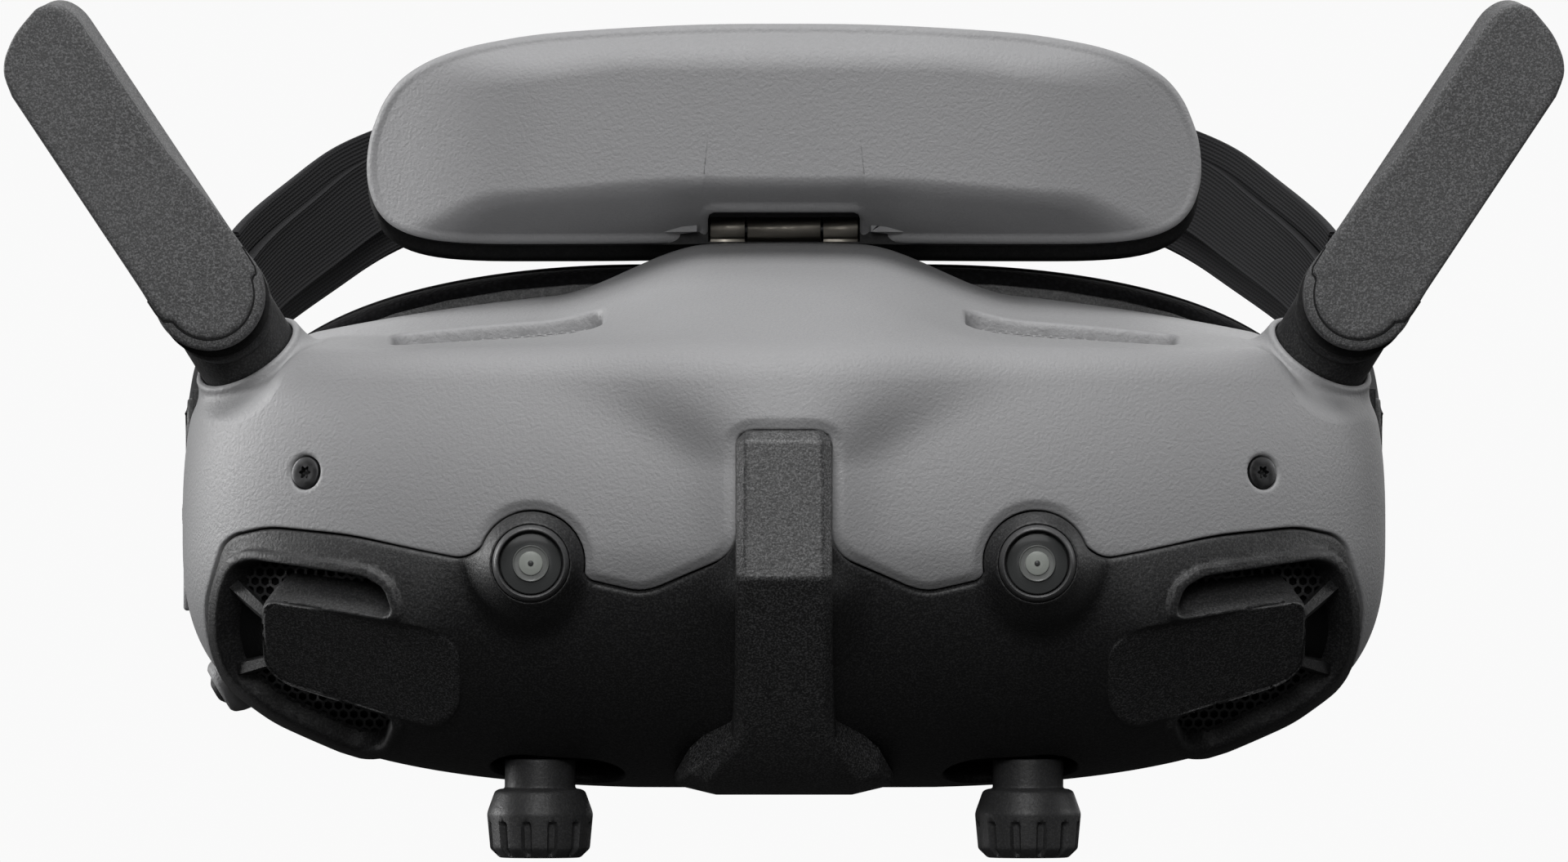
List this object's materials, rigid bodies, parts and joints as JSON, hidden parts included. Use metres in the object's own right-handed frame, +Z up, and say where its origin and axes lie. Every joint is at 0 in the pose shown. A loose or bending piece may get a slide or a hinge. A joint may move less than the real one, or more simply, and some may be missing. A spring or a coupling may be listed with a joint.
{
  "type": "fpv goggles",
  "caption": "Grey and black drone goggles with swinging antennas, a tilting forehead pad, sliding eyepieces with focus knobs and a battery headband.",
  "frame": {"origin": "centre of the raised bridge pad on the housing's flat rear plate, midway between the two eyepieces", "axes": "+Z up, -Y out of the front (the cameras look along -Y), +Y towards the wearer's face, +X to the right of someone looking at the front"},
  "size_m": [0.2236, 0.236, 0.1209],
  "materials": {
    "shell_grey": "fine leather grain, matt",
    "cover_black": "fine sparkle grain, matt",
    "soft_black": "matt",
    "webbing": "woven",
    "hinge_metal": "satin bronze grey",
    "steel": "satin",
    "aluminium": "satin",
    "lens_glass": "polished",
    "display": "polished",
    "board_green": "satin",
    "cell_wrap": "satin"
  },
  "bodies": {
    "root": {"upper_front_shell": "shell_grey", "lower_front_cover": "cover_black", "rear_housing": "cover_black", "face_carrier": "cover_black", "face_foam": "soft_black", "top_vent_mesh_left": "cover_black", "top_vent_mesh_right": "cover_black", "side_vent_mesh_left": "cover_black", "side_vent_mesh_right": "cover_black", "camera_barrel_left": "cover_black", "camera_barrel_right": "cover_black", "camera_glass_left": "lens_glass", "camera_glass_right": "lens_glass", "front_screw_left": "steel", "front_screw_right": "steel", "mainboard": "board_green", "heat_sink": "aluminium", "fan_frame": "cover_black", "antenna_collar_left": "cover_black", "antenna_collar_right": "cover_black", "hinge_bracket": "hinge_metal", "hinge_pin": "steel", "ipd_rod_front": "steel", "ipd_rod_rear": "steel", "side_port_cover": "cover_black"},
    "fan": {"fan_rotor": "cover_black"},
    "forehead": {"forehead_shell": "shell_grey", "forehead_rim": "cover_black", "forehead_foam": "soft_black", "hinge_leaf": "hinge_metal"},
    "menu_stick_body": {"menu_stick": "cover_black"},
    "back_button_body": {"back_button": "cover_black"},
    "headband": {"strap_web_left": "webbing", "strap_web_right": "webbing", "strap_band_left": "webbing", "strap_band_right": "webbing", "strap_clip_left": "cover_black", "strap_clip_right": "cover_black", "battery_case": "cover_black", "battery_cover": "cover_black", "battery_cell_lower": "cell_wrap", "battery_cell_upper": "cell_wrap"},
    "power_button_body": {"power_button": "shell_grey"},
    "antenna_left": {"antenna_front_left": "cover_black", "antenna_back_left": "cover_black", "antenna_pin_left": "steel"},
    "eyepiece_left": {"eyepiece_carriage_left": "cover_black", "display_panel_left": "display"},
    "focus_left": {"eyepiece_barrel_left": "cover_black", "eyepiece_lens_left": "lens_glass"},
    "knob_left": {"focus_knob_left": "cover_black"},
    "antenna_right": {"antenna_front_right": "cover_black", "antenna_back_right": "cover_black", "antenna_pin_right": "steel"},
    "eyepiece_right": {"eyepiece_carriage_right": "cover_black", "display_panel_right": "display"},
    "focus_right": {"eyepiece_barrel_right": "cover_black", "eyepiece_lens_right": "lens_glass"},
    "knob_right": {"focus_knob_right": "cover_black"}
  },
  "joints": [
    {"name": "fan_spin", "type": "hinge", "parent": "root", "child": "fan", "pos_m": [0, -0.0235, 0.0257], "axis": [0, 0, 1], "continuous": true},
    {"name": "antenna_left_fold", "type": "hinge", "parent": "root", "child": "antenna_left", "pos_m": [-0.081, -0.0327, 0.0367], "axis": [0, 1, 0], "range_deg": [-15, 112]},
    {"name": "eyepiece_left_slide", "type": "slide", "parent": "root", "child": "eyepiece_left", "axis": [1, 0, 0], "range_m": [-0.0015, 0.0065]},
    {"name": "knob_left_turn", "type": "hinge", "parent": "eyepiece_left", "child": "knob_left", "pos_m": [-0.0345, -0.022, -0.033], "axis": [0, 0, 1], "range_deg": [-150, 150]},
    {"name": "focus_left_slide", "type": "slide", "parent": "eyepiece_left", "child": "focus_left", "axis": [0, 1, 0], "range_m": [-0.0022, 0.0022]},
    {"name": "antenna_right_fold", "type": "hinge", "parent": "root", "child": "antenna_right", "pos_m": [0.081, -0.0327, 0.0367], "axis": [0, -1, 0], "range_deg": [-15, 112]},
    {"name": "eyepiece_right_slide", "type": "slide", "parent": "root", "child": "eyepiece_right", "axis": [-1, 0, 0], "range_m": [-0.0015, 0.0065]},
    {"name": "knob_right_turn", "type": "hinge", "parent": "eyepiece_right", "child": "knob_right", "pos_m": [0.0345, -0.022, -0.033], "axis": [0, 0, 1], "range_deg": [-150, 150]},
    {"name": "focus_right_slide", "type": "slide", "parent": "eyepiece_right", "child": "focus_right", "axis": [0, 1, 0], "range_m": [-0.0022, 0.0022]},
    {"name": "forehead_tilt", "type": "hinge", "parent": "root", "child": "forehead", "pos_m": [0, 0.0016, 0.0462], "axis": [1, 0, 0], "range_deg": [-12, 20]},
    {"name": "headband_swing", "type": "hinge", "parent": "root", "child": "headband", "pos_m": [0, 0.006, 0.017], "axis": [1, 0, 0], "range_deg": [-18, 22]},
    {"name": "menu_stick_press", "type": "slide", "parent": "root", "child": "menu_stick_body", "axis": [0.8601, 0, 0.5101], "range_m": [0, 0.0007]},
    {"name": "back_button_press", "type": "slide", "parent": "root", "child": "back_button_body", "axis": [1, 0, 0], "range_m": [0, 0.0005]},
    {"name": "power_button_press", "type": "slide", "parent": "headband", "child": "power_button_body", "axis": [0, -1, 0], "range_m": [0, 0.0007]}
  ],
  "couplings": [
    {"joint": "knob_left_turn", "follows": "focus_left_slide", "rad_per_m": 1189},
    {"joint": "knob_right_turn", "follows": "focus_right_slide", "rad_per_m": 1189}
  ]
}
